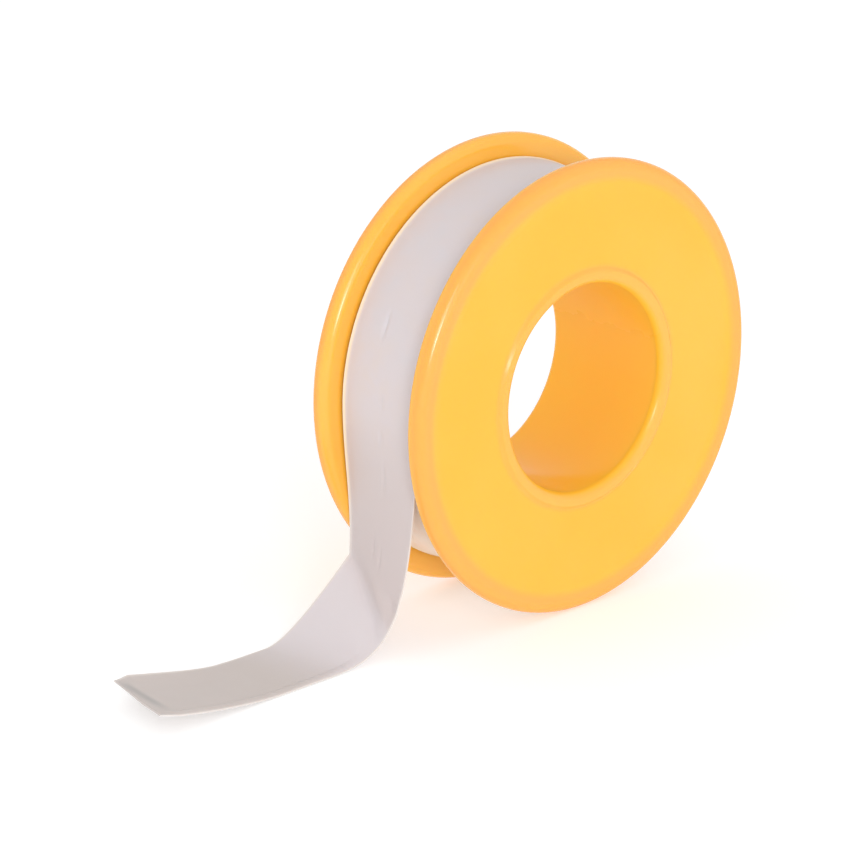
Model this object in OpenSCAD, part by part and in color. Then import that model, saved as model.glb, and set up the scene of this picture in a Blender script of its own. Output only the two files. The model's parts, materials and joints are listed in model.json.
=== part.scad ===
// Roll of thread seal tape: a two-part reel, its wound tape and a free tail that lies on the surface
// the roll stands on. Millimetres, +Y along the bore, +Z up, origin in the middle of the bore.

/* [Reel] */
// Outer diameter of the two flanges
flange_diameter = 52; // [50:0.5:64]
// Thickness of each flange over its raised rim
flange_thickness = 2.4; // [1.8:0.1:4]
// How far the flat of each flange lies below its raised rim and lip
web_recess = 0.35; // [0.3:0.05:0.5]
// Radius of the rounding along the rim of each flange
rim_radius = 1.1; // [0.4:0.1:1.4]
// Width of the level crest of the raised rim, on which the roll can lie
rim_land = 0.4; // [0.3:0.1:1.2]
// Diameter of the bore
bore_diameter = 24; // [18:0.5:28]
// Radius of the rounded lip at each mouth of the bore
lip_radius = 1; // [0.6:0.1:1.6]
// Width of the level crest of the raised lip
lip_land = 0.1; // [0.05:0.05:0.5]
// Radius of the wide hollow that leads from the rim down to the flat
rim_hollow = 2.6; // [2:0.1:3.5]
// Radius of the tight hollow that leads from the lip down to the flat
lip_hollow = 0.8; // [0.6:0.1:1.2]
// Wall of the tube around the bore, which belongs to the rear half
tube_wall = 1.2; // [0.8:0.1:2]
// Wall of the sleeve over that tube, which belongs to the front half
sleeve_wall = 1.2; // [0.8:0.1:2]
// Radial gap between the tube and the sleeve pushed over it
telescope_clearance = 0.05; // [0.02:0.01:0.1]
// Gap between the end of the sleeve and the rear flange
sleeve_end_clearance = 0.1; // [0.05:0.05:0.5]

/* [Tape] */
// Width of the tape
tape_width = 12; // [9:0.5:19]
// Thickness of the tape
tape_thickness = 0.2; // [0.1:0.05:0.3]
// Depth of the winding, from the sleeve to the outside of the outermost turn
winding_depth = 8.95; // [5:0.05:9.5]
// Gap between each side of the winding and the flange beside it
side_clearance = 0.35; // [0.3:0.05:1]
// Gap between the sleeve and the first turn on it
core_clearance = 0.05; // [0.02:0.01:0.2]
// Gap between the outermost turn and the turns below it
turn_clearance = 0.3; // [0.25:0.05:0.6]
// Angle that the outermost turn covers, up to where the tail leaves it
outer_turn_angle = 338; // [300:1:342]

/* [Tail] */
// Width of the free tail, which the pull has drawn narrower
tail_width = 11; // [8:0.5:18]
// How far the tail stands towards the rear flange once it is on the floor
tail_drift = 1.2; // [0:0.1:2]
// Height of the crease at the rear edge, above the floor
crease_height = 8.3; // [5:0.1:11]
// How far inside the winding's side that crease lies
crease_inset = 1.1; // [0:0.1:1.4]
// How far the crease runs ahead at the front edge, as a share of the drop
crease_lead = 0.1; // [0:0.02:0.2]
// Share of the drop that the front edge falls before it bends
front_fall = 0.84; // [0.5:0.02:0.9]
// How far the front edge stands out at the foot of its bend
front_bulge = 1.8; // [0:0.1:3]
// Distance from the winding's side to where the tail lies flat
landing_reach = 11.3; // [9:0.1:18]
// How gently the rear edge meets the floor
landing_ease = 0.9; // [0.4:0.1:1.4]
// Length of the stretch that lies flat
flat_length = 7.3; // [4:0.1:20]
// Length of the raised end along its rear edge
end_length = 14.2; // [8:0.2:24]
// How much further the slanted cut reaches at the front edge
cut_slant = 2.9; // [0:0.1:6]
// Height that the cut end is raised by
end_lift = 2.4; // [0:0.1:5]
// How late along the end that rise comes
lift_power = 1.6; // [1.2:0.1:3]

/* [Hidden] */
$fn = 96;
overrun = 1;

flange_r = flange_diameter / 2;
bore_r = bore_diameter / 2;
rim_share = 0.48;
lip_share = 0.6;
rim_r = min(rim_radius, rim_share * flange_thickness);
lip_r = min(lip_radius, lip_share * flange_thickness);
half_gap = tape_width / 2 + side_clearance;
half_width = half_gap + flange_thickness;
web_y = half_width - web_recess;
function hollow_run(radius) = sqrt(pow(radius, 2) - pow(radius - web_recess, 2));
tube_r = bore_r + tube_wall;
socket_r = tube_r + telescope_clearance;
sleeve_r = socket_r + sleeve_wall;
shoulder_y = half_width - lip_r;

wound_r = sleeve_r + winding_depth;
turn_r = wound_r - tape_thickness / 2;
turn_rise = tape_thickness * outer_turn_angle / 360;
pack_r = wound_r - tape_thickness - turn_rise - turn_clearance;
core_r = sleeve_r + core_clearance;

floor_z = -flange_r;
laid_z = floor_z + tape_thickness / 2;
tape_y = tape_width / 2;
tail_rear_y = tail_width / 2 + tail_drift;
tail_front_y = tail_rear_y - tail_width;
landing_x = -wound_r - landing_reach;
flat_end_x = landing_x - flat_length;

turn_step = 4;
turn_steps = round(outer_turn_angle / turn_step);
drop_steps = 36;
end_steps = 12;

reel_colour = [0.99, 0.76, 0.30];
tape_colour = [0.86, 0.83, 0.81];

// Points of a cubic curve from a to d, led by b and c
function curve(a, b, c, d, t) =
    pow(1 - t, 3) * a + 3 * pow(1 - t, 2) * t * b + 3 * (1 - t) * t * t * c + pow(t, 3) * d;

// A point of the winding at an angle below the side where the tail leaves it
function on_turn(r, angle, y) = [-r * cos(angle), y, -r * sin(angle)];

// The outermost turn, as pairs of a rear and a front point: it climbs by one thickness in a full turn
turn_rows = [
    for (i = [0 : turn_steps])
        let (angle = outer_turn_angle * (i / turn_steps - 1))
        let (r = turn_r + turn_rise * (i / turn_steps - 1))
        [on_turn(r, angle, tape_y), on_turn(r, angle, -tape_y)]
];

// The rear edge drops to a crease and then slopes out to the floor
crease = [-wound_r + crease_inset, tape_y + tail_drift / 10, floor_z + crease_height];
rear_top = on_turn(turn_r, 0, tape_y);
rear_foot = [landing_x, tail_rear_y, laid_z];
drop_height = rear_top.z - crease.z;
function rear_drop(t) = curve(
    rear_top,
    rear_top - [0, 0, drop_height / 3],
    crease + [crease_inset / 2, 0, drop_height / 3],
    crease,
    t);
slope_out = landing_reach / 3;
function rear_slope(t) = curve(
    crease,
    crease - [slope_out, 0, crease_height / 3],
    rear_foot + [landing_ease * slope_out, 0, 0],
    rear_foot,
    t);
function rear_edge(t) = t < 0.5 ? rear_drop(2 * t) : rear_slope(2 * t - 1);

// The front edge falls straight and turns to the floor in one wide bend
front_top = on_turn(turn_r, 0, -tape_y);
front_foot = [landing_x, tail_front_y, laid_z];
fall_height = front_top.z - laid_z;
function front_edge(t) = curve(
    front_top,
    [front_top.x, tail_front_y, front_top.z - front_fall * fall_height],
    [front_top.x - front_bulge, tail_front_y, laid_z],
    front_foot,
    t + crease_lead * sin(180 * t));

drop_rows = [for (i = [0 : drop_steps]) [rear_edge(i / drop_steps), front_edge(i / drop_steps)]];

// The last stretch lifts off the floor towards its slanted cut
end_rows = [
    for (i = [0 : end_steps])
        let (t = i / end_steps)
        let (z = laid_z + end_lift * pow(t, lift_power))
        [[flat_end_x - end_length * t, tail_rear_y, z],
         [flat_end_x - (end_length + cut_slant) * t, tail_front_y, z]]
];

// Least gap that the unbroken tape leaves to itself, from the first eighth of its turn to the tail
turn_start = [for (i = [0 : floor(turn_steps / 8)]) turn_rows[i]];
tail_gaps = [
    for (a = turn_start)
        for (b = drop_rows)
            for (k = [0, 1])
                norm(a[k] - b[k]) - tape_thickness
];
echo(least_gap_of_tape_to_itself = min(tail_gaps));

// Sections of the reel are drawn with the radius across and the bore along
module rim_section() {
    rim_x = flange_r - rim_r;
    translate([bore_r, half_gap])
        square([rim_x - bore_r, flange_thickness]);
    translate([bore_r, half_gap + rim_r])
        square([flange_r - bore_r, flange_thickness - 2 * rim_r]);
    for (y = [half_gap + rim_r, half_width - rim_r])
        translate([rim_x, y])
            circle(rim_r);
}

// What the rounded lip leaves open at the mouth of the bore
module mouth_section() {
    difference() {
        translate([bore_r - overrun, shoulder_y])
            square([lip_r + overrun, lip_r + overrun]);
        translate([bore_r + lip_r, shoulder_y])
            circle(lip_r);
    }
}

// The recess between the raised rim and the raised lip, with hollowed sides
module recess_section() {
    inner_x = bore_r + lip_r + lip_land + hollow_run(lip_hollow);
    outer_x = flange_r - rim_r - rim_land - hollow_run(rim_hollow);
    translate([inner_x, web_y])
        square([outer_x - inner_x, web_recess + overrun]);
    translate([inner_x, web_y + lip_hollow])
        circle(lip_hollow);
    translate([outer_x, web_y + rim_hollow])
        circle(rim_hollow);
}

module flange_section() {
    difference() {
        rim_section();
        mouth_section();
        recess_section();
    }
}

module rear_section() {
    flange_section();
    translate([bore_r, -shoulder_y])
        square([tube_wall, shoulder_y + half_gap + flange_thickness / 2]);
}

module front_section() {
    difference() {
        union() {
            mirror([0, 1])
                flange_section();
            translate([socket_r, -half_gap - flange_thickness / 2])
                square([sleeve_wall, 2 * half_gap + flange_thickness / 2 - sleeve_end_clearance]);
        }
        translate([0, -shoulder_y])
            square([socket_r, shoulder_y + half_width]);
    }
}

module turned_on_bore() {
    rotate([-90, 0, 0])
        rotate_extrude()
            children();
}

function middle(row) = (row[0] + row[1]) / 2;

// A closed strip of tape through pairs of edge points, half its thickness to each side
module ribbon(rows) {
    last = len(rows) - 1;
    normals = [
        for (i = [0 : last])
            let (ahead = middle(rows[min(i + 1, last)]) - middle(rows[max(i - 1, 0)]))
            let (n = cross(ahead, rows[i][1] - rows[i][0]))
            n / norm(n) * tape_thickness / 2
    ];
    points = [
        for (i = [0 : last])
            each [rows[i][0] + normals[i], rows[i][1] + normals[i],
                  rows[i][1] - normals[i], rows[i][0] - normals[i]]
    ];
    sides = [
        for (i = [0 : last - 1])
            for (k = [0 : 3])
                let (a = 4 * i + k, b = 4 * i + (k + 1) % 4)
                each [[a, b, b + 4], [a, b + 4, a + 4]]
    ];
    tip = 4 * last;
    caps = [[2, 1, 0], [3, 2, 0], [tip, tip + 1, tip + 2], [tip, tip + 2, tip + 3]];
    polyhedron(points, concat(sides, caps));
}

module rear_reel_half() {
    color(reel_colour)
        turned_on_bore()
            rear_section();
}

module front_reel_half() {
    color(reel_colour)
        turned_on_bore()
            front_section();
}

module tape_pack() {
    color(tape_colour)
        turned_on_bore()
            translate([core_r, -tape_y])
                square([pack_r - core_r, tape_width]);
}

module tape_outer_turn() {
    color(tape_colour)
        ribbon(turn_rows);
}

module tape_drop() {
    color(tape_colour)
        ribbon(drop_rows);
}

module tape_run() {
    color(tape_colour)
        translate([flat_end_x, tail_front_y, floor_z])
            cube([flat_length, tail_width, tape_thickness]);
}

module tape_end() {
    color(tape_colour)
        ribbon(end_rows);
}

rear_reel_half();
front_reel_half();
tape_pack();
tape_outer_turn();
tape_drop();
tape_run();
tape_end();
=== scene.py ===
import json
import math
import random

import bmesh
import bpy
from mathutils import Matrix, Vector


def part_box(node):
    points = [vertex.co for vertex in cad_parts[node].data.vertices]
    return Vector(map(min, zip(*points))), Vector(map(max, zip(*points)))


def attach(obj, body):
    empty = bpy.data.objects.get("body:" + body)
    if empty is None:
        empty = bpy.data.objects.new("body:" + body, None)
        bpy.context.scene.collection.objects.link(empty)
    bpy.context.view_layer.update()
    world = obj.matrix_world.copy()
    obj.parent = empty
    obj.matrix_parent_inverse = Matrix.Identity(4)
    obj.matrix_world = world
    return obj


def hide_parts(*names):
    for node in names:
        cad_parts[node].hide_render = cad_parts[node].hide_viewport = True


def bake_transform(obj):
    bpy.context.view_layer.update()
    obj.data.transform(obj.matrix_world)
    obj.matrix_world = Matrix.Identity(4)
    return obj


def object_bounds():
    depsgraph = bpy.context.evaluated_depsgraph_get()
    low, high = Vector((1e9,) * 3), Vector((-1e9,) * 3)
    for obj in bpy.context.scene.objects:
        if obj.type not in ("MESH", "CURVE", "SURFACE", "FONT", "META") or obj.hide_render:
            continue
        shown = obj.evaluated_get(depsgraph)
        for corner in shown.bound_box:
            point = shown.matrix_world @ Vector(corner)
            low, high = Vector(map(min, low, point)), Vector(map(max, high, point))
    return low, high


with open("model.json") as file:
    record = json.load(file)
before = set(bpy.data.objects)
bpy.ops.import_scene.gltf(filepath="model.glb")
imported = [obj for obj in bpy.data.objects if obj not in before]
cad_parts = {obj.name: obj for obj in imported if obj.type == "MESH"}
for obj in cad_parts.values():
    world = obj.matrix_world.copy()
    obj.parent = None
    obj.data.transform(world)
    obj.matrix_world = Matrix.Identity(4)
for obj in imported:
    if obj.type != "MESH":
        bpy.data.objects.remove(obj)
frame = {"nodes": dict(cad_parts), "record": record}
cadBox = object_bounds()
scene = bpy.context.scene
scene.view_settings.view_transform = "Standard"
mm = 0.001
print("frame loaded,", len(frame["nodes"]), "nodes")

# camera, fitted to the outlines of both flanges, the bore and the tape
photoView = {
    "azimuth": -43.753,           # degrees, 0 looks along +Y
    "elevation": 18.977,
    "distance": 457.7 * mm,
    "lookAcross": -12.11 * mm,    # the point looked at, from mid-bore, along the picture
    "lookUp": -6.015 * mm,
    "lens": 172.2,
    "sensor": 36,
    "sees": (0.01, 20),           # nearest and farthest, in metres
}


def awayFrom(azimuth, elevation):
    a, e = math.radians(azimuth), math.radians(elevation)
    return Vector((math.sin(a) * math.cos(e), -math.cos(a) * math.cos(e), math.sin(e)))


def makeCamera(view):
    back = awayFrom(view["azimuth"], view["elevation"])
    turn = math.radians(view["azimuth"])
    right = Vector((math.cos(turn), math.sin(turn), 0))
    up = back.cross(right)
    aim = right * view["lookAcross"] + up * view["lookUp"]
    bpy.ops.object.camera_add(location=aim + back * view["distance"])
    camera = bpy.context.object
    camera.name = "photoCamera"
    camera.rotation_mode = "QUATERNION"
    camera.rotation_quaternion = (-back).to_track_quat("-Z", "Y")
    camera.data.sensor_width = view["sensor"]
    camera.data.lens = view["lens"]
    camera.data.clip_start, camera.data.clip_end = view["sees"]
    scene.camera = camera


makeCamera(photoView)
print("camera set")

# edit mode helpers
hair = 0.002 * mm     # places closer than this are the same
weld = 0.001 * mm     # points closer than this are joined


def leaveEdit():
    if bpy.context.object and bpy.context.object.mode != "OBJECT":
        bpy.ops.object.mode_set(mode="OBJECT")
    bpy.ops.object.select_all(action="DESELECT")


def pick(piece, kind, test):
    # select points or edges of the mesh in edit mode by where they lie
    bpy.ops.mesh.select_all(action="DESELECT")
    bpy.context.tool_settings.mesh_select_mode = (kind == "points", kind == "edges", False)
    edit = bmesh.from_edit_mesh(piece.data)
    for part in (edit.verts if kind == "points" else edit.edges):
        spots = [part.co] if kind == "points" else [v.co for v in part.verts]
        if all(test(spot) for spot in spots):
            part.select_set(True)
    edit.select_flush_mode()
    bmesh.update_edit_mesh(piece.data)


def near(a, b):
    return abs(a - b) < hair


def startSection(name, x0, x1, y0, y1):
    # a flat section, with the radius along X and the bore along Y
    leaveEdit()
    bpy.ops.mesh.primitive_plane_add(size=1, enter_editmode=True)
    piece = bpy.context.object
    piece.name = name
    bpy.ops.transform.resize(value=(x1 - x0, abs(y1 - y0), 1), center_override=(0, 0, 0))
    bpy.ops.transform.translate(value=((x0 + x1) / 2, (y0 + y1) / 2, 0))
    return piece


def cutAt(x=None, y=None):
    bpy.ops.mesh.select_all(action="SELECT")
    if x is not None:
        bpy.ops.mesh.bisect(plane_co=(x, 0, 0), plane_no=(1, 0, 0), threshold=weld)
    else:
        bpy.ops.mesh.bisect(plane_co=(0, y, 0), plane_no=(0, 1, 0), threshold=weld)


def roundCorner(piece, x, y, size, steps):
    pick(piece, "points", lambda p: near(p.x, x) and near(p.y, y))
    bpy.ops.mesh.bevel(offset=size, offset_type="OFFSET", segments=steps, profile=0.5, affect="VERTICES")


def splitLine(piece, test, cuts):
    # more points along a straight stretch, so that smooth shading stays true beside the rounds
    pick(piece, "edges", test)
    bpy.ops.mesh.subdivide(number_cuts=cuts)


def turnSection(piece, steps, smoothAngle):
    # the outline alone is spun round the bore into a closed shell
    bpy.ops.mesh.select_all(action="SELECT")
    bpy.ops.mesh.delete(type="ONLY_FACE")
    bpy.ops.mesh.select_all(action="SELECT")
    bpy.ops.mesh.spin(steps=steps, angle=2 * math.pi, center=(0, 0, 0), axis=(0, 1, 0))
    bpy.ops.mesh.select_all(action="SELECT")
    bpy.ops.mesh.remove_doubles(threshold=weld)
    bpy.ops.mesh.normals_make_consistent(inside=False)
    bpy.ops.object.mode_set(mode="OBJECT")
    bpy.ops.object.shade_smooth_by_angle(angle=math.radians(smoothAngle))


# reel, two halves that telescope: sizes read from the frame, with the moulding's roundings
rearLow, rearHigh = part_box("rear_reel_half")
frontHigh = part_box("front_reel_half")[1]
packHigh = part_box("tape_pack")[1]
sideClearance = 0.35 * mm         # from the winding to each flange
boreMount = next(m for m in frame["record"]["mounts"] if m["name"] == "bore")
reelShape = {
    "flangeRadius": frontHigh.x,
    "boreRadius": boreMount["dims"]["r_mm"] * mm,
    "halfWidth": rearHigh.y,
    "halfGap": packHigh.y + sideClearance,
    "shoulder": -rearLow.y,       # where the tube ends behind the front lip
    "sleeveEnd": frontHigh.y,
    "tubeWall": 1.2 * mm,
    "sleeveWall": 1.2 * mm,
    "slideGap": 0.05 * mm,
    "webRecess": 0.35 * mm,
    "rimRound": 1.1 * mm,
    "rimCrest": 24.5 * mm,        # radius where the raised rim falls to the web
    "rimFall": 1.3 * mm,          # gentle fall from rim to web
    "rimFallRound": 0.6 * mm,
    "lipRound": 0.97 * mm,
    "lipCrest": 13.45 * mm,       # radius where the raised lip falls to the web
    "lipFall": 0.42 * mm,         # steep fall from lip to web
    "lipFallRound": 0.08 * mm,
    "lipFootRound": 0.14 * mm,
    "straightAngle": 0.5,         # degrees, a smaller bend counts as straight
    "roundSteps": 10,
    "faceCuts": 24,
    "boreCuts": 10,
    "turnSteps": 288,
    "smoothAngle": 35,
}


def flangeBlock(name, side, size):
    # one flange as a flat section: raised rim and lip, recessed web
    piece = startSection(name, size["boreRadius"], size["flangeRadius"],
                         side * size["halfGap"], side * size["halfWidth"])
    lipFoot = size["lipCrest"] + size["lipFall"]
    rimFoot = size["rimCrest"] - size["rimFall"]
    for x in (size["lipCrest"], lipFoot, rimFoot, size["rimCrest"]):
        cutAt(x=x)
    face = side * size["halfWidth"]
    pick(piece, "points", lambda p: near(p.y, face) and (near(p.x, lipFoot) or near(p.x, rimFoot)))
    bpy.ops.transform.translate(value=(0, -side * size["webRecess"], 0))
    return piece


def finishHalf(piece, side, size):
    bpy.ops.mesh.select_all(action="SELECT")
    bpy.ops.mesh.dissolve_limited(angle_limit=math.radians(size["straightAngle"]))
    face, inner = side * size["halfWidth"], side * size["halfGap"]
    web = face - side * size["webRecess"]
    lipFoot = size["lipCrest"] + size["lipFall"]
    rimFoot = size["rimCrest"] - size["rimFall"]
    corners = ((size["flangeRadius"], face, "rimRound"),
               (size["flangeRadius"], inner, "rimRound"),
               (size["boreRadius"], face, "lipRound"),
               (size["rimCrest"], face, "rimFallRound"),
               (rimFoot, web, "rimFallRound"),
               (size["lipCrest"], face, "lipFallRound"),
               (lipFoot, web, "lipFootRound"))
    for x, y, rounding in corners:
        roundCorner(piece, x, y, size[rounding], size["roundSteps"])
    webStart = lipFoot + size["lipFootRound"] - hair
    webEnd = rimFoot - size["rimFallRound"] + hair
    splitLine(piece, lambda p: near(p.y, web) and webStart < p.x < webEnd, size["faceCuts"])
    splitLine(piece, lambda p: near(p.y, inner), size["faceCuts"])
    turnSection(piece, size["turnSteps"], size["smoothAngle"])


def makeRearHalf(size):
    piece = flangeBlock("rearReelHalf", 1, size)
    tubeRadius = size["boreRadius"] + size["tubeWall"]
    cutAt(x=tubeRadius)
    pick(piece, "edges", lambda p: near(p.y, size["halfGap"]) and p.x < tubeRadius + hair)
    bpy.ops.mesh.extrude_region_move(
        TRANSFORM_OT_translate={"value": (0, -size["shoulder"] - size["halfGap"], 0)})
    splitLine(piece, lambda p: near(p.x, size["boreRadius"]), size["boreCuts"])
    finishHalf(piece, 1, size)
    return piece


def makeFrontHalf(size):
    piece = flangeBlock("frontReelHalf", -1, size)
    socketRadius = size["boreRadius"] + size["tubeWall"] + size["slideGap"]
    sleeveRadius = socketRadius + size["sleeveWall"]
    cutAt(x=socketRadius)
    cutAt(x=sleeveRadius)
    cutAt(y=-size["shoulder"])
    # the socket that the rear tube goes into
    bpy.context.tool_settings.mesh_select_mode = (False, False, True)
    bpy.ops.mesh.select_all(action="DESELECT")
    edit = bmesh.from_edit_mesh(piece.data)
    for face in edit.faces:
        spot = face.calc_center_median()
        face.select_set(spot.x < socketRadius and spot.y > -size["shoulder"])
    bmesh.update_edit_mesh(piece.data)
    bpy.ops.mesh.delete(type="FACE")
    pick(piece, "edges", lambda p: near(p.y, -size["halfGap"]) and p.x < sleeveRadius + hair)
    bpy.ops.mesh.extrude_region_move(
        TRANSFORM_OT_translate={"value": (0, size["sleeveEnd"] + size["halfGap"], 0)})
    finishHalf(piece, -1, size)
    return piece


rearHalf = makeRearHalf(reelShape)
frontHalf = makeFrontHalf(reelShape)
print("reel halves turned:", len(rearHalf.data.vertices), "and", len(frontHalf.data.vertices), "points")

# winding, the inner turns as one ring whose sides show the laps
woundRadius = -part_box("tape_outer_turn")[0].x
windingShape = {
    "innerRadius": 14.5 * mm,
    "outerRadius": woundRadius - 0.3 * mm,    # leaves room for the last turn
    "halfTape": packHigh.y,
    "laps": 42,
    "lapWander": 0.1 * mm,
    "cornerKept": 0.1 * mm,                   # the section's corners stay where they are
    "outerCuts": 12,
    "turnSteps": 240,
    "smoothAngle": 60,
    "seed": 7,
}


def makeWinding(size):
    piece = startSection("tapeWinding", size["innerRadius"], size["outerRadius"],
                         -size["halfTape"], size["halfTape"])
    for side in (-1, 1):
        splitLine(piece, lambda p: near(p.y, side * size["halfTape"]), size["laps"] - 1)
    draw = random.Random(size["seed"])
    first, last = size["innerRadius"] + size["cornerKept"], size["outerRadius"] - size["cornerKept"]
    edit = bmesh.from_edit_mesh(piece.data)
    for v in sorted(edit.verts, key=lambda v: (v.co.y, v.co.x)):
        if first < v.co.x < last:
            v.co.y -= math.copysign(draw.uniform(0, size["lapWander"]), v.co.y)
    bmesh.update_edit_mesh(piece.data)
    splitLine(piece, lambda p: near(p.x, size["outerRadius"]), size["outerCuts"])
    turnSection(piece, size["turnSteps"], size["smoothAngle"])
    return piece


winding = makeWinding(windingShape)
print("winding turned:", len(winding.data.vertices), "points")

# tape, one unbroken ribbon: last turn, drop, crease, flat run and raised slanted end
runLow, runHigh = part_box("tape_run")
tapeShape = {
    "thickness": 0.16 * mm,
    "turnRadius": woundRadius - 0.1 * mm,                     # half the solid's thickness inside it
    "startRadius": windingShape["outerRadius"] - 0.12 * mm,   # its start lies under the turns
    "turnAngle": 350,
    "halfTape": packHigh.y,
    "floor": runLow.z,
    "laid": (runLow.z + runHigh.z) / 2,
    "rearY": runHigh.y,
    "frontY": runLow.y,
    "landingX": runHigh.x,
    "flatEndX": runLow.x,
    "creaseHeight": 8.3 * mm,
    "creaseInset": 1.1 * mm,
    "creaseDrift": 0.12 * mm,
    "creaseLead": 0.1,
    "frontFall": 0.84,
    "frontBulge": 1.8 * mm,
    "landingEase": 0.9,
    "tipX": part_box("tape_end")[0].x,
    "cutSlant": 2.9 * mm,
    "endLift": 2.4 * mm,
    "liftPower": 1.6,
    "turnRows": 234,
    "dropRows": 120,              # half of them above the crease
    "runRows": 64,
    "endRows": 48,
    "columns": 72,
    "smoothAngle": 50,
}


def curve(a, b, c, d, t):
    s = 1 - t
    return s * s * s * a + 3 * s * s * t * b + 3 * s * t * t * c + t * t * t * d


def tapeRows(size):
    # every row is a rear point, a front point, the stretch it belongs to and how far along that it lies
    rows = []
    half, laid = size["halfTape"], size["laid"]
    for i in range(size["turnRows"]):
        u = i / size["turnRows"]
        angle = math.radians(size["turnAngle"] * (u - 1))
        r = size["startRadius"] + (size["turnRadius"] - size["startRadius"]) * u
        rows.append((Vector((-r * math.cos(angle), half, -r * math.sin(angle))),
                     Vector((-r * math.cos(angle), -half, -r * math.sin(angle))), "turn", u))
    top = Vector((-size["turnRadius"], half, 0))
    crease = Vector((-woundRadius + size["creaseInset"], half + size["creaseDrift"],
                     size["floor"] + size["creaseHeight"]))
    foot = Vector((size["landingX"], size["rearY"], laid))
    third = Vector((0, 0, (top.z - crease.z) / 3))
    inward = Vector((size["creaseInset"] / 2, 0, 0))
    reach = (-woundRadius - size["landingX"]) / 3
    slope = Vector((reach, 0, size["creaseHeight"] / 3))
    ease = Vector((size["landingEase"] * reach, 0, 0))
    frontTop = Vector((-size["turnRadius"], -half, 0))
    frontKnee = Vector((frontTop.x, size["frontY"], size["frontFall"] * laid))
    frontBend = Vector((frontTop.x - size["frontBulge"], size["frontY"], laid))
    frontFoot = Vector((size["landingX"], size["frontY"], laid))
    for i in range(size["dropRows"]):
        t = i / size["dropRows"]
        if t < 0.5:
            rear = curve(top, top - third, crease + inward + third, crease, 2 * t)
        else:
            rear = curve(crease, crease - slope, foot + ease, foot, 2 * t - 1)
        along = t + size["creaseLead"] * math.sin(math.pi * t)
        rows.append((rear, curve(frontTop, frontKnee, frontBend, frontFoot, along), "drop", t))
    for i in range(size["runRows"]):
        t = i / size["runRows"]
        x = size["landingX"] + (size["flatEndX"] - size["landingX"]) * t
        rows.append((Vector((x, size["rearY"], laid)), Vector((x, size["frontY"], laid)), "run", t))
    rearTip = size["tipX"] + size["cutSlant"]
    for i in range(size["endRows"] + 1):
        t = i / size["endRows"]
        z = laid + size["endLift"] * t ** size["liftPower"]
        rows.append((Vector((size["flatEndX"] + (rearTip - size["flatEndX"]) * t, size["rearY"], z)),
                     Vector((size["flatEndX"] + (size["tipX"] - size["flatEndX"]) * t, size["frontY"], z)),
                     "end", t))
    return rows


# small forms of the film: lengths run along it from where it leaves the roll, v across it to the front
filmForms = {
    "rearCurl": {"height": 0.22 * mm, "share": 0.07, "until": 24 * mm, "fades": 4 * mm},
    "frontRoll": {"height": 0.2 * mm, "centre": 0.94, "share": 0.06, "from": 24 * mm, "full": 33 * mm,
                  "fades": 4 * mm},
    # rows that the fold is eased over at the rear and the front edge, and the share of the drop it takes
    "foldEase": {"rear": 1, "front": 9, "share": 0.3},
    "crease": {"start": 20.65 * mm, "slant": 1.75 * mm, "depth": 0.34 * mm, "reach": 1.1 * mm,
               "fullFrom": 0.45, "fullTo": 0.75},
    "ridge": {"before": 2.6 * mm, "height": 0.26 * mm, "reach": 1.0 * mm, "v": 0.72, "share": 0.25,
              "fullTo": 0.85},
    "dimple": {"along": 17.9 * mm, "v": 0.9, "depth": 0.2 * mm, "reach": 0.8 * mm, "share": 0.08},
    "tipRidge": {"before": 0.25 * mm, "slant": 2.2 * mm, "height": 0.12 * mm, "reach": 0.8 * mm,
                 "v": 0.45, "share": 0.35},
    "tipRear": {"height": 0.6 * mm, "share": 0.45, "full": 2.2 * mm, "fades": (5 * mm, 20 * mm)},
    "tipCorner": {"reach": 3 * mm, "share": 0.4, "height": 0.2 * mm},
    # place along, v, half length, half width, depth
    "dents": ((-10 * mm, 0.375, 1.1 * mm, 0.24 * mm, 0.24 * mm),
              (-1.8 * mm, 0.5, 0.5 * mm, 0.25 * mm, 0.14 * mm),
              (2.4 * mm, 0.5, 0.6 * mm, 0.25 * mm, 0.14 * mm),
              (6.8 * mm, 0.56, 1.5 * mm, 0.24 * mm, 0.11 * mm),
              (15.6 * mm, 0.46, 1.2 * mm, 0.22 * mm, 0.15 * mm),
              (15.8 * mm, 0.58, 1.2 * mm, 0.22 * mm, 0.15 * mm)),
}


def bell(x):
    return math.exp(-x * x)


def rise(low, high, x):
    t = min(max((x - low) / (high - low), 0), 1)
    return t * t * (3 - 2 * t)


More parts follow.
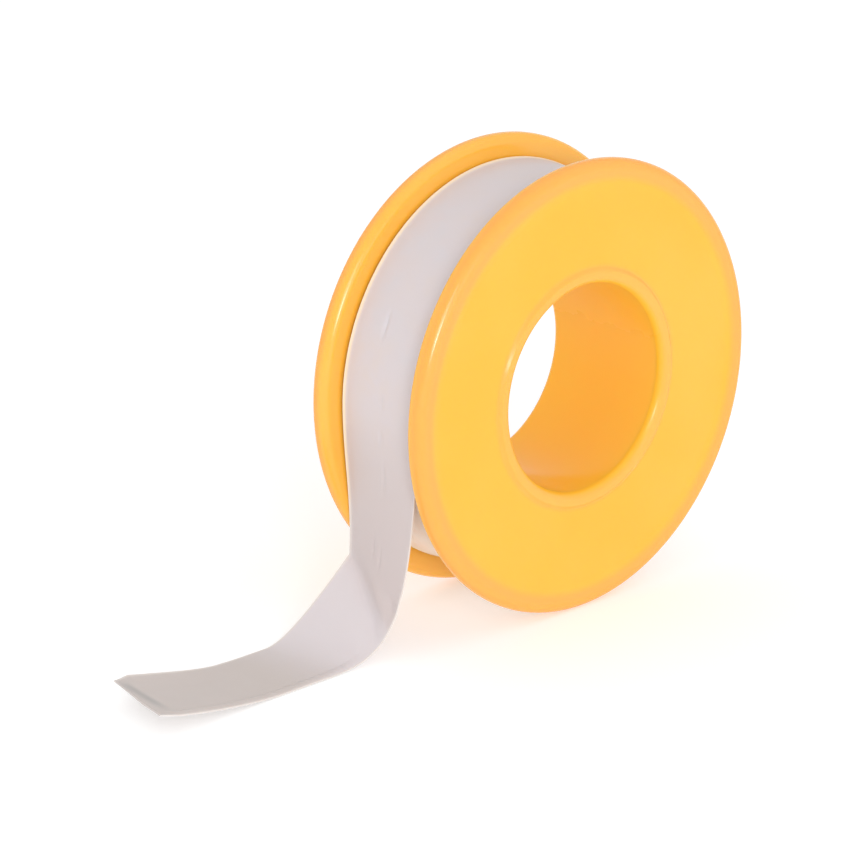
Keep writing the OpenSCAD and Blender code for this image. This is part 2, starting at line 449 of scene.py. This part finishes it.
def tapeLift(forms, along, left, v, wide):
    # height of the small forms above the plain ribbon, along its outward normal
    curl, roll, crease, ridge = (forms[name] for name in ("rearCurl", "frontRoll", "crease", "ridge"))
    lift = (curl["height"] * max(1 - v / curl["share"], 0) ** 2
            * rise(curl["until"], curl["until"] - curl["fades"], along))
    lift += (roll["height"] * max(1 - ((v - roll["centre"]) / roll["share"]) ** 2, 0)
             * rise(roll["from"], roll["full"], along) * rise(0, roll["fades"], left))
    fold = along - crease["start"] - crease["slant"] * v
    lift -= (crease["depth"] * rise(0, crease["fullFrom"], v) * rise(1, crease["fullTo"], v)
             * bell(fold / crease["reach"]))
    lift += (ridge["height"] * bell((fold + ridge["before"]) / ridge["reach"])
             * bell((v - ridge["v"]) / ridge["share"]) * rise(1, ridge["fullTo"], v))
    dimple, tip, raised, corner = (forms[name] for name in ("dimple", "tipRidge", "tipRear", "tipCorner"))
    lift -= (dimple["depth"] * bell((along - dimple["along"]) / dimple["reach"])
             * bell((v - dimple["v"]) / dimple["share"]))
    crest = left - tip["before"] - tip["slant"] * v
    lift += tip["height"] * bell(crest / tip["reach"]) * bell((v - tip["v"]) / tip["share"])
    early, late = raised["fades"]
    lift += (raised["height"] * max(1 - v / raised["share"], 0) ** 2
             * rise(0, raised["full"], left) * rise(late, early, left))
    lift += corner["height"] * rise(corner["reach"], 0, left) * rise(1 - corner["share"], 1, v)
    for place, centre, length, width, depth in forms["dents"]:
        lift -= depth * bell((along - place) / length) * bell((v - centre) * wide / width)
    return lift


def makeRibbon(size, forms):
    rows = tapeRows(size)
    last = len(rows) - 1
    columns = size["columns"]
    tapeWidth = 2 * size["halfTape"]
    ease = forms["foldEase"]
    middles = [(row[0] + row[1]) / 2 for row in rows]
    lengths = [0]
    for i in range(last):
        lengths.append(lengths[i] + (middles[i + 1] - middles[i]).length)
    whole, leaves = lengths[last], lengths[size["turnRows"]]
    points, marks = [], []
    for i, (rear, front, stretch, t) in enumerate(rows):
        ahead = middles[min(i + 1, last)] - middles[max(i - 1, 0)]
        normal = ahead.cross(front - rear).normalized()
        for k in range(columns + 1):
            v = k / columns
            spot = rear + (front - rear) * v
            if stretch == "drop":
                most = ease["rear"] + (ease["front"] - ease["rear"]) * v
                reach = round(most * bell((t - 0.5) / ease["share"]))
                around = rows[i - reach:i + reach + 1]
                spot = sum((row[0] + (row[1] - row[0]) * v for row in around), Vector()) / len(around)
            lift = tapeLift(forms, lengths[i] - leaves, whole - lengths[i], v, tapeWidth)
            points.append(spot + normal * lift)
            marks.append((v, (lengths[i] - leaves) / tapeWidth))
    stride = columns + 1
    faces = [(i * stride + k, i * stride + k + 1, (i + 1) * stride + k + 1, (i + 1) * stride + k)
             for i in range(last) for k in range(columns)]
    mesh = bpy.data.meshes.new("tapeRibbon")
    mesh.from_pydata([tuple(p) for p in points], [], faces)
    layer = mesh.uv_layers.new(name="tapeRun")
    for loop in mesh.loops:
        layer.data[loop.index].uv = marks[loop.vertex_index]
    piece = bpy.data.objects.new("tapeRibbon", mesh)
    scene.collection.objects.link(piece)
    leaveEdit()
    piece.select_set(True)
    bpy.context.view_layer.objects.active = piece
    wall = piece.modifiers.new("wall", "SOLIDIFY")
    wall.thickness = size["thickness"]
    wall.offset = 0
    wall.use_even_offset = False
    bpy.ops.object.modifier_apply(modifier="wall")
    bpy.ops.object.shade_smooth_by_angle(angle=math.radians(size["smoothAngle"]))
    return piece, whole, whole - leaves


ribbon, ribbonLength, tailLength = makeRibbon(tapeShape, filmForms)
print("ribbon laid:", round(ribbonLength / mm), "mm long,", len(ribbon.data.vertices), "points")

# finishes, on layers of noise that each have a detail and a roughness
driftLayers = {"Drift": (1, 0.5), "Mottle": (3, 0.6), "Grain": (2, 0.6)}
driftContrast = (0.3, 0.7)


def newMaterial(name):
    material = bpy.data.materials.new(name)
    material.use_nodes = True
    tree = material.node_tree
    return material, tree, tree.nodes["Principled BSDF"]


def calc(tree, operation, a, b=None, c=None):
    # one sum on sockets or plain numbers
    node = tree.nodes.new("ShaderNodeMath")
    node.operation = operation
    for i, value in enumerate((a, b, c)):
        if isinstance(value, (int, float)):
            node.inputs[i].default_value = value
        elif value is not None:
            tree.links.new(value, node.inputs[i])
    return node.outputs[0]


def spread(tree, value, low, high, newLow, newHigh):
    node = tree.nodes.new("ShaderNodeMapRange")
    node.interpolation_type = "SMOOTHSTEP"
    tree.links.new(value, node.inputs["Value"])
    for name, number in (("From Min", low), ("From Max", high), ("To Min", newLow), ("To Max", newHigh)):
        node.inputs[name].default_value = number
    return node.outputs["Result"]


def mixColour(tree, share, a, b):
    node = tree.nodes.new("ShaderNodeMix")
    node.data_type = "RGBA"
    tree.links.new(share, node.inputs["Factor"])
    for socket, value in ((node.inputs["A"], a), (node.inputs["B"], b)):
        if isinstance(value, tuple):
            socket.default_value = value
        else:
            tree.links.new(value, socket)
    return node.outputs["Result"]


def cloud(tree, place, scale, detail, roughness):
    node = tree.nodes.new("ShaderNodeTexNoise")
    tree.links.new(place, node.inputs["Vector"])
    if isinstance(scale, (int, float)):
        node.inputs["Scale"].default_value = scale
    else:
        tree.links.new(scale, node.inputs["Scale"])
    node.inputs["Detail"].default_value = detail
    node.inputs["Roughness"].default_value = roughness
    return node.outputs["Fac"]


def makeDriftGroup():
    # broad drift, small mottle and fine grain of a surface, shared by plastic and film
    group = bpy.data.node_groups.new("surfaceDrift", "ShaderNodeTree")
    for name, kind in (("Place", "NodeSocketVector"), ("Broad", "NodeSocketFloat"),
                       ("Mottle", "NodeSocketFloat"), ("Fine", "NodeSocketFloat")):
        group.interface.new_socket(name=name, in_out="INPUT", socket_type=kind)
    for name in driftLayers:
        group.interface.new_socket(name=name, in_out="OUTPUT", socket_type="NodeSocketFloat")
    inside, outside = group.nodes.new("NodeGroupInput"), group.nodes.new("NodeGroupOutput")
    for (name, texture), scale in zip(driftLayers.items(), ("Broad", "Mottle", "Fine")):
        layer = cloud(group, inside.outputs["Place"], inside.outputs[scale], *texture)
        if name != "Grain":
            layer = spread(group, layer, *driftContrast, 0, 1)
        group.links.new(layer, outside.inputs[name])
    return group


def useDrift(tree, place, scales):
    node = tree.nodes.new("ShaderNodeGroup")
    node.node_tree = driftGroup
    tree.links.new(place, node.inputs["Place"])
    for name, scale in zip(("Broad", "Mottle", "Fine"), scales):
        node.inputs[name].default_value = scale
    return node.outputs


def addGrainAndGlow(tree, skin, look, height):
    bump = tree.nodes.new("ShaderNodeBump")
    bump.inputs["Distance"].default_value = look["grainDepth"]
    tree.links.new(height, bump.inputs["Height"])
    tree.links.new(bump.outputs["Normal"], skin.inputs["Normal"])
    skin.inputs["Specular IOR Level"].default_value = look["specular"]
    skin.inputs["Subsurface Weight"].default_value = look["glow"]
    skin.inputs["Subsurface Radius"].default_value = look["glowReach"]
    skin.inputs["Subsurface Scale"].default_value = look["glowDepth"]


driftGroup = makeDriftGroup()

reelFinish = {
    "amber": (0.98, 0.475, 0.05, 1),
    "amberPale": (0.98, 0.495, 0.064, 1),
    "rimLipShade": (0.97, 0.41, 0.062, 1),     # painted shade with a faint painted reflection: a deeper, pinker amber on the raised rim and lip
    "lipShadeShare": 0.5,                # the lip takes half of that tone
    # painted shade in the bore: a deeper amber on its wall and the lip's inner round
    "boreShade": (0.93, 0.495, 0.042, 1),
    "boreBand": (0.1 * mm, 0.6 * mm),    # bands, as depths from the bore's wall, the rim and the face
    "lipBand": (1.7 * mm, 2.4 * mm),
    "rimBand": (2.8 * mm, 1.6 * mm),
    "faceBand": (1.8 * mm, 0.8 * mm),
    "driftScales": (70, 420, 3200),      # per metre
    "roughness": (0.14, 0.19),
    "boreDuller": 0.04,                  # added to that in the bore
    "pegWear": 0.3,                      # and more where a peg rubs, along the bore's upper side
    "pegBand": (0.1, 0.7),               # heights in the bore, as shares of its radius
    "specular": 0.26,
    "gloss": 0.75,                       # rim and lip, rubbed smooth by handling
    "glossRoughness": 0.19,
    "glossFades": (0.25, 0.6),           # from a facing to a glancing look
    "grainDepth": 0.004 * mm,
    "glow": 0.3,
    "glowReach": (1, 0.45, 0.12),
    "glowDepth": 0.9 * mm,
}


def makeAmber(look, size):
    boreRadius, flangeRadius, halfWidth = size["boreRadius"], size["flangeRadius"], size["halfWidth"]
    material, tree, skin = newMaterial("amberPlastic")
    place = tree.nodes.new("ShaderNodeTexCoord").outputs["Object"]
    drift = useDrift(tree, place, look["driftScales"])
    split = tree.nodes.new("ShaderNodeSeparateXYZ")
    tree.links.new(place, split.inputs[0])
    radius = calc(tree, "SQRT", calc(tree, "ADD", calc(tree, "POWER", split.outputs["X"], 2),
                                     calc(tree, "POWER", split.outputs["Z"], 2)))
    bore = spread(tree, radius, *(boreRadius + depth for depth in look["boreBand"]), 1, 0)
    face = spread(tree, calc(tree, "ABSOLUTE", split.outputs["Y"]),
                  *(halfWidth - depth for depth in look["faceBand"]), 0, 1)
    aroundBore = spread(tree, radius, *(boreRadius + depth for depth in look["lipBand"]), 1, 0)
    lip = calc(tree, "MULTIPLY", face, aroundBore)
    rim = spread(tree, radius, *(flangeRadius - depth for depth in look["rimBand"]), 0, 1)
    # painted shade on the raised rim and lip, the lip at half strength
    rimLipShade = calc(tree, "MAXIMUM", calc(tree, "MULTIPLY", lip, look["lipShadeShare"]),
                 calc(tree, "MULTIPLY", face, rim))
    tone = mixColour(tree, drift["Drift"], look["amber"], look["amberPale"])
    tone = mixColour(tree, rimLipShade, tone, look["rimLipShade"])
    # painted shade: the bore wall takes the deeper amber
    tree.links.new(mixColour(tree, bore, tone, look["boreShade"]), skin.inputs["Base Color"])
    facing = tree.nodes.new("ShaderNodeLayerWeight").outputs["Facing"]
    rubbed = calc(tree, "MAXIMUM", calc(tree, "SUBTRACT", lip, bore), rim)
    coat = calc(tree, "MULTIPLY", rubbed, spread(tree, facing, *look["glossFades"], look["gloss"], 0))
    tree.links.new(coat, skin.inputs["Coat Weight"])
    skin.inputs["Coat Roughness"].default_value = look["glossRoughness"]
    worn = spread(tree, split.outputs["Z"], *(boreRadius * share for share in look["pegBand"]),
                  look["boreDuller"], look["boreDuller"] + look["pegWear"])
    rough = spread(tree, drift["Mottle"], 0, 1, *look["roughness"])
    tree.links.new(calc(tree, "MULTIPLY_ADD", bore, worn, rough), skin.inputs["Roughness"])
    addGrainAndGlow(tree, skin, look, drift["Grain"])
    return material


# places along the ribbon are in tape widths from where it leaves the roll
tapeFinish = {
    "white": (0.675, 0.615, 0.63, 1),
    "cool": (0.66, 0.62, 0.645, 1),
    "warm": (0.685, 0.61, 0.60, 1),
    "thin": (0.585, 0.53, 0.505, 1),     # one layer of film, off the roll
    "thinFrom": (2.3, 3.2),
    "dropShade": (0.62, 0.548, 0.538, 1),  # painted shade on the hanging drop, with some darkening from its single layer of film that has nothing behind it
    "hangsFrom": (-0.2, 0.8),
    "slope": (0.69, 0.643, 0.66, 1),     # painted light: past the crease the film leans back to the light and is painted lighter
    "slopeFrom": (1.6, 1.9),
    "below": (0.98, 0.83, 0.72, 1),      # painted light under the roll: a warm glow standing in for light through the amber flanges
    "belowWarm": (0.98, 0.79, 0.66, 1),
    "belowUntil": (-10, -7),
    "foldShade": (0.42, 0.40, 0.39, 1),     # painted shade in the fold beside the cut
    "foldBefore": 0.03,
    "foldSlant": 0.15,
    "foldReach": 0.09,
    "foldShare": 0.8,
    "foldComes": (0, 0.25),              # across the film, as shares of its width
    "foldGoes": (0.6, 0.95),
    # painted highlights: pale lines along the film's edges, warm with painted amber reflection on the roll
    "edgeGlintOnRoll": (0.96, 0.82, 0.60, 1),
    "edgeGlintOnTail": (0.72, 0.67, 0.64, 1),
    "edgeChanges": (0.8, 1.6),
    "edgeShare": (0.045, 0.022),         # of the width, at the rear and the front edge
    "driftScales": (160, 480, 2600),     # per metre
    "streakScale": (70, 1.5, 0),         # lengthwise streaks, across and along the film
    "streakTexture": (3, 0.6),
    "roughness": (0.54, 0.6),
    "grainDepth": 0.006 * mm,
    "specular": 0.3,
    "glow": 0.4,
    "glowReach": (1, 0.95, 0.9),
    "glowDepth": 0.25 * mm,
}


def ribbonTone(tree, look, drift, tailWidths):
    # the ribbon's marks, across and along the film, place its streaks, its tones with painted light and
    # shade, its painted fold shade and its painted edge highlights
    mark = tree.nodes.new("ShaderNodeUVMap")
    mark.uv_map = "tapeRun"
    split = tree.nodes.new("ShaderNodeSeparateXYZ")
    tree.links.new(mark.outputs[0], split.inputs[0])
    across, along = split.outputs["X"], split.outputs["Y"]
    stretch = tree.nodes.new("ShaderNodeVectorMath")
    stretch.operation = "MULTIPLY"
    tree.links.new(mark.outputs[0], stretch.inputs[0])
    stretch.inputs[1].default_value = look["streakScale"]
    streak = cloud(tree, stretch.outputs[0], 1, *look["streakTexture"])
    tint = mixColour(tree, drift["Drift"], look["cool"], look["warm"])
    tone = mixColour(tree, drift["Mottle"], tint, look["white"])
    # painted shade on the drop, from where it leaves the roll to the crease
    dropShade = calc(tree, "MULTIPLY", spread(tree, along, *look["hangsFrom"], 0, 1),
                   spread(tree, along, *look["slopeFrom"], 1, 0))
    tone = mixColour(tree, dropShade, tone, look["dropShade"])
    # painted light on the slope past the crease
    tone = mixColour(tree, spread(tree, along, *look["slopeFrom"], 0, 1), tone, look["slope"])
    # painted light: the warm glow on the turn under the roll
    tone = mixColour(tree, spread(tree, along, *look["belowUntil"], 1, 0), tone, look["below"])
    tone = mixColour(tree, spread(tree, along, *look["thinFrom"], 0, 1), tone, look["thin"])
    # painted shade along the fold beside the cut
    fold = calc(tree, "MULTIPLY_ADD", across, look["foldSlant"], along)
    middle, reach = tailWidths - look["foldBefore"], look["foldReach"]
    foldShade = calc(tree, "MULTIPLY", spread(tree, fold, middle - reach, middle, 0, look["foldShare"]),
                  spread(tree, fold, middle, middle + reach, 1, 0))
    foldShade = calc(tree, "MULTIPLY", foldShade, spread(tree, across, *look["foldComes"], 0, 1))
    foldShade = calc(tree, "MULTIPLY", foldShade, spread(tree, across, *look["foldGoes"], 1, 0))
    tone = mixColour(tree, foldShade, tone, look["foldShade"])
    # painted highlights along the rear and front edges of the film
    offRoll = spread(tree, along, *look["edgeChanges"], 0, 1)
    rearEdgeGlint = mixColour(tree, offRoll, look["edgeGlintOnRoll"], look["edgeGlintOnTail"])
    rearShare, frontShare = look["edgeShare"]
    tone = mixColour(tree, spread(tree, across, 0, rearShare, 1, 0), tone, rearEdgeGlint)
    tone = mixColour(tree, spread(tree, across, 1 - frontShare, 1, 0, 1), tone, look["edgeGlintOnTail"])
    return tone, streak


def makeFilm(name, look, tailWidths=None):
    # with a tail it is the ribbon's film, without one the winding's, painted all over with the warm glow
    material, tree, skin = newMaterial(name)
    place = tree.nodes.new("ShaderNodeTexCoord").outputs["Object"]
    drift = useDrift(tree, place, look["driftScales"])
    height = drift["Grain"]
    if tailWidths is None:
        # the winding is coloured all over in the painted warm glow
        tone = mixColour(tree, drift["Mottle"], look["belowWarm"], look["below"])
    else:
        tone, streak = ribbonTone(tree, look, drift, tailWidths)
        height = calc(tree, "ADD", height, streak)
    tree.links.new(tone, skin.inputs["Base Color"])
    tree.links.new(spread(tree, drift["Mottle"], 0, 1, *look["roughness"]), skin.inputs["Roughness"])
    addGrainAndGlow(tree, skin, look, height)
    return material


amber = makeAmber(reelFinish, reelShape)
film = makeFilm("whiteFilm", tapeFinish, tailLength / (2 * tapeShape["halfTape"]))
woundFilm = makeFilm("woundFilm", tapeFinish)
for piece in (rearHalf, frontHalf):
    piece.data.materials.append(amber)
winding.data.materials.append(woundFilm)
ribbon.data.materials.append(film)
print("finishes made")

# what moves with what
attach(rearHalf, "reel")
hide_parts("rear_reel_half")
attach(frontHalf, "reel")
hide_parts("front_reel_half")
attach(winding, "reel")
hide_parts("tape_pack")
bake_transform(ribbon)
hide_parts("tape_outer_turn", "tape_drop", "tape_run", "tape_end")
print("pieces tied to their bodies")

# studio: pale floor, soft lamps, white all round
studio = {
    "white": (1, 1, 1, 1),
    "floorSize": 6,
    "floorDrop": 0.05 * mm,           # just clear of the flanges and the tape
    "floorColour": (0.8, 0.8, 0.8, 1),
    "floorGlow": 0.34,
    "airLight": 0.84,
    "lamps": {
        "keyLamp": {"azimuth": -33, "elevation": 15, "distance": 0.9, "size": 0.2, "level": 0.15},
        "sideLamp": {"azimuth": -40, "elevation": 24, "distance": 1, "size": 0.5, "level": 0.16},
        "frontLamp": {"azimuth": -4, "elevation": 10, "distance": 1.2, "size": 0.8, "level": 0.08},
    },
}


def makeFloor(look):
    leaveEdit()
    bpy.ops.mesh.primitive_plane_add(size=look["floorSize"],
                                     location=(0, 0, cadBox[0].z - look["floorDrop"]))
    floor = bpy.context.object
    floor.name = "paleFloor"
    material, tree, skin = newMaterial("paleFloor")
    skin.inputs["Base Color"].default_value = look["floorColour"]
    skin.inputs["Roughness"].default_value = 1
    skin.inputs["Specular IOR Level"].default_value = 0
    skin.inputs["Emission Color"].default_value = look["white"]
    skin.inputs["Emission Strength"].default_value = look["floorGlow"]
    floor.data.materials.append(material)


def makeAir(look):
    # soft light on the object, plain white where the air itself is seen
    world = bpy.data.worlds.new("studioAir")
    scene.world = world
    world.use_nodes = True
    tree = world.node_tree
    soft = tree.nodes["Background"]
    soft.inputs["Color"].default_value = look["white"]
    soft.inputs["Strength"].default_value = look["airLight"]
    white = tree.nodes.new("ShaderNodeBackground")
    white.inputs["Color"].default_value = look["white"]
    white.inputs["Strength"].default_value = 1
    path = tree.nodes.new("ShaderNodeLightPath").outputs
    seen = calc(tree, "MAXIMUM", path["Is Camera Ray"], path["Is Glossy Ray"])
    seen = calc(tree, "MAXIMUM", seen, path["Is Transmission Ray"])
    pickShader = tree.nodes.new("ShaderNodeMixShader")
    tree.links.new(seen, pickShader.inputs[0])
    tree.links.new(soft.outputs[0], pickShader.inputs[1])
    tree.links.new(white.outputs[0], pickShader.inputs[2])
    tree.links.new(pickShader.outputs[0], tree.nodes["World Output"].inputs["Surface"])


def makeLamp(name, lamp):
    away = awayFrom(lamp["azimuth"], lamp["elevation"])
    bpy.ops.object.light_add(type="AREA", location=away * lamp["distance"])
    light = bpy.context.object
    light.name = name
    light.rotation_mode = "QUATERNION"
    light.rotation_quaternion = (-away).to_track_quat("-Z", "Y")
    light.data.shape = "DISK"
    light.data.size = lamp["size"]
    # power that lights a white card facing the lamp to this level
    light.data.energy = lamp["level"] * (math.pi * lamp["distance"]) ** 2


makeFloor(studio)
makeAir(studio)
for name, lamp in studio["lamps"].items():
    makeLamp(name, lamp)
print("studio lit")
